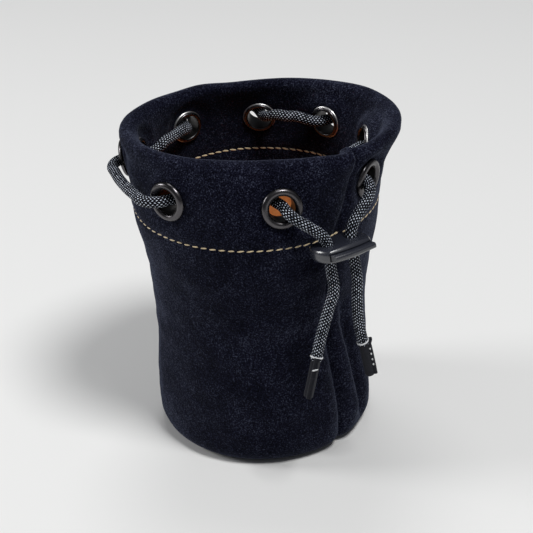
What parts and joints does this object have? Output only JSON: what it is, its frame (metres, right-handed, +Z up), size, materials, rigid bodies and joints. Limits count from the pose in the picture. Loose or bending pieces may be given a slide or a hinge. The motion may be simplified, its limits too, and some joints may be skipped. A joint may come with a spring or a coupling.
{
  "type": "leather dice cup",
  "caption": "Suede drawstring dice cup with a rolled, eyeleted rim, tan lining, laced cord, sprung two-hole cord lock and sewn cord tabs.",
  "frame": {"origin": "middle of the round base, on the surface that the cup stands on", "axes": "+Z up along the cup's axis; -Y towards the cord lock and the side seam; +X to the right of the lock seen from outside"},
  "size_m": [0.0941, 0.1038, 0.1119],
  "materials": {
    "navy_suede": "suede, matt",
    "tan_leather": "smooth lining leather",
    "dark_nickel": "gunmetal plated",
    "bright_nickel": "nickel plated",
    "black_cord": "braided nylon",
    "black_plastic": "satin moulded",
    "spring_steel": "bright wire",
    "black_leather": "smooth"
  },
  "bodies": {
    "cup": {"wall_panel": "navy_suede", "lining_wall": "tan_leather", "base_outer": "navy_suede", "base_lining": "tan_leather", "eyelet_1": "dark_nickel", "eyelet_2": "dark_nickel", "eyelet_3": "dark_nickel", "eyelet_4": "dark_nickel", "eyelet_5": "dark_nickel", "eyelet_6": "dark_nickel", "eyelet_7": "dark_nickel", "eyelet_8": "dark_nickel", "washer_1": "bright_nickel", "washer_2": "bright_nickel", "washer_3": "bright_nickel", "washer_4": "bright_nickel", "washer_5": "bright_nickel", "washer_6": "bright_nickel", "washer_7": "bright_nickel", "washer_8": "bright_nickel", "drawcord": "black_cord", "end_tab_left": "black_leather", "end_tab_right": "black_leather"},
    "lock": {"lock_body": "black_plastic"},
    "button": {"lock_button": "black_plastic", "lock_spring": "spring_steel"}
  },
  "joints": [
    {"name": "lock_slide", "type": "slide", "parent": "cup", "child": "lock", "axis": [0, -0.2079, -0.9781], "range_m": [0, 0.008]},
    {"name": "button_press", "type": "slide", "parent": "lock", "child": "button", "axis": [0, 0.9781, -0.2079], "range_m": [0, 0.0018], "stiffness_N_per_m": 900, "springref_m": -0.002, "deforming": ["lock_spring"]}
  ]
}
